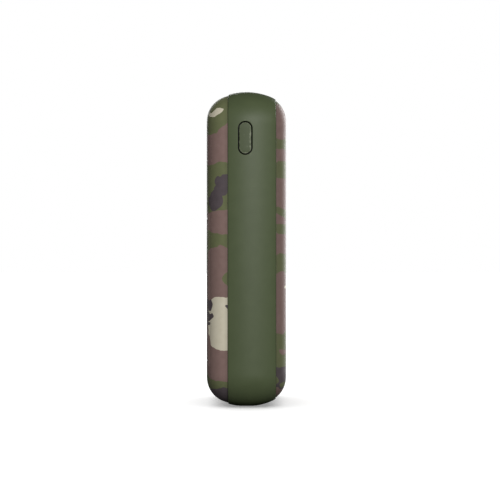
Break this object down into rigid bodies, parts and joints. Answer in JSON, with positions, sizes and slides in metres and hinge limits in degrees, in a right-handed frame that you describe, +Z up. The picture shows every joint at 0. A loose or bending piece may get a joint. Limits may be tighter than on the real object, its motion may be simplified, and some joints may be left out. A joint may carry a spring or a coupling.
{
  "type": "toy walkie talkie",
  "caption": "Slim hand-held toy radio with camouflage covers on an olive centre band, a side talk button, a call button, a power slide and a battery bay.",
  "frame": {"origin": "on the ground, under the middle of the standing object", "axes": "+Z up along the length, -Y out of the speaker side, -X out of the talk button side"},
  "size_m": [0.054, 0.0304, 0.12],
  "materials": {
    "camouflage": "satin camouflage print",
    "band_olive": "fine satin texture",
    "button_olive": "satin",
    "rubber_black": "matte",
    "steel": "zinc plated",
    "nickel": "nickel plated",
    "battery_skin": "printed sleeve",
    "copper": "enamelled copper wire",
    "board_green": "solder mask",
    "black_plastic": "moulded",
    "grey_plastic": "moulded",
    "ferrite": "sintered",
    "paper_cone": "pressed",
    "cloth_black": "open weave",
    "foam_black": "open cell",
    "clear_plastic": "polished",
    "lamp_red": "tinted epoxy",
    "lead_red": "lead sleeve",
    "lead_black": "lead sleeve"
  },
  "bodies": {
    "case": {"front_cover": "camouflage", "centre_band": "band_olive", "back_cover": "camouflage", "talk_switch": "black_plastic", "power_switch": "nickel", "call_switch": "black_plastic", "grille_cloth": "cloth_black", "speaker_gasket": "foam_black", "speaker_basket": "steel", "speaker_cone": "paper_cone", "speaker_magnet": "nickel", "microphone": "nickel", "microphone_boot": "rubber_black", "circuit_board": "board_green", "board_screw_1": "steel", "board_screw_2": "steel", "radio_chip": "black_plastic", "sound_chip": "black_plastic", "crystal": "nickel", "capacitor_1": "black_plastic", "capacitor_2": "black_plastic", "tuning_can": "nickel", "status_lamp": "lamp_red", "light_pipe": "clear_plastic", "antenna_core": "ferrite", "antenna_coil": "copper", "battery_tray": "black_plastic", "contact_minus": "nickel", "contact_bridge_1": "nickel", "contact_bridge_2": "nickel", "contact_plus": "nickel", "speaker_lead_1": "lead_red", "speaker_lead_2": "lead_black", "battery_lead_1": "lead_red", "battery_lead_2": "lead_black", "case_screw_1": "steel", "case_screw_2": "steel", "case_screw_3": "steel", "case_screw_4": "steel", "battery_1": "battery_skin", "battery_spring_1": "nickel", "battery_2": "battery_skin", "battery_spring_2": "nickel", "battery_3": "battery_skin", "battery_spring_3": "nickel"},
    "battery_door": {"battery_door": "camouflage"},
    "door_screw": {"door_screw": "steel"},
    "talk_button": {"talk_button": "button_olive"},
    "talk_plunger": {"talk_plunger": "grey_plastic"},
    "power_knob": {"power_knob": "black_plastic"},
    "power_lever": {"power_lever": "black_plastic"},
    "call_button": {"call_button": "button_olive"},
    "call_plunger": {"call_plunger": "grey_plastic"}
  },
  "joints": [
    {"name": "talk_press", "type": "slide", "parent": "case", "child": "talk_button", "axis": [1, 0, 0], "range_m": [0, 0.0009], "stiffness_N_per_m": 800, "springref_m": -0.001},
    {"name": "talk_plunger_press", "type": "slide", "parent": "case", "child": "talk_plunger", "axis": [1, 0, 0], "range_m": [0, 0.0009]},
    {"name": "call_press", "type": "slide", "parent": "case", "child": "call_button", "axis": [0, 1, 0], "range_m": [0, 0.0008], "stiffness_N_per_m": 700, "springref_m": -0.001},
    {"name": "call_plunger_press", "type": "slide", "parent": "case", "child": "call_plunger", "axis": [0, 1, 0], "range_m": [0, 0.0008]},
    {"name": "power_slide", "type": "slide", "parent": "case", "child": "power_knob", "axis": [0, 0, 1], "range_m": [0, 0.003]},
    {"name": "power_lever_slide", "type": "slide", "parent": "case", "child": "power_lever", "axis": [0, 0, 1], "range_m": [0, 0.003]},
    {"name": "battery_door_swing", "type": "hinge", "parent": "case", "child": "battery_door", "pos_m": [0, 0.01515, 0.0713], "axis": [1, 0, 0], "range_deg": [0, 75]},
    {"name": "door_screw_turn", "type": "hinge", "parent": "battery_door", "child": "door_screw", "pos_m": [0, 0.014, 0.0135], "axis": [0, 1, 0], "continuous": true}
  ],
  "couplings": [
    {"joint": "talk_plunger_press", "follows": "talk_press", "ratio": 1},
    {"joint": "call_plunger_press", "follows": "call_press", "ratio": 1},
    {"joint": "power_lever_slide", "follows": "power_slide", "ratio": 1}
  ]
}
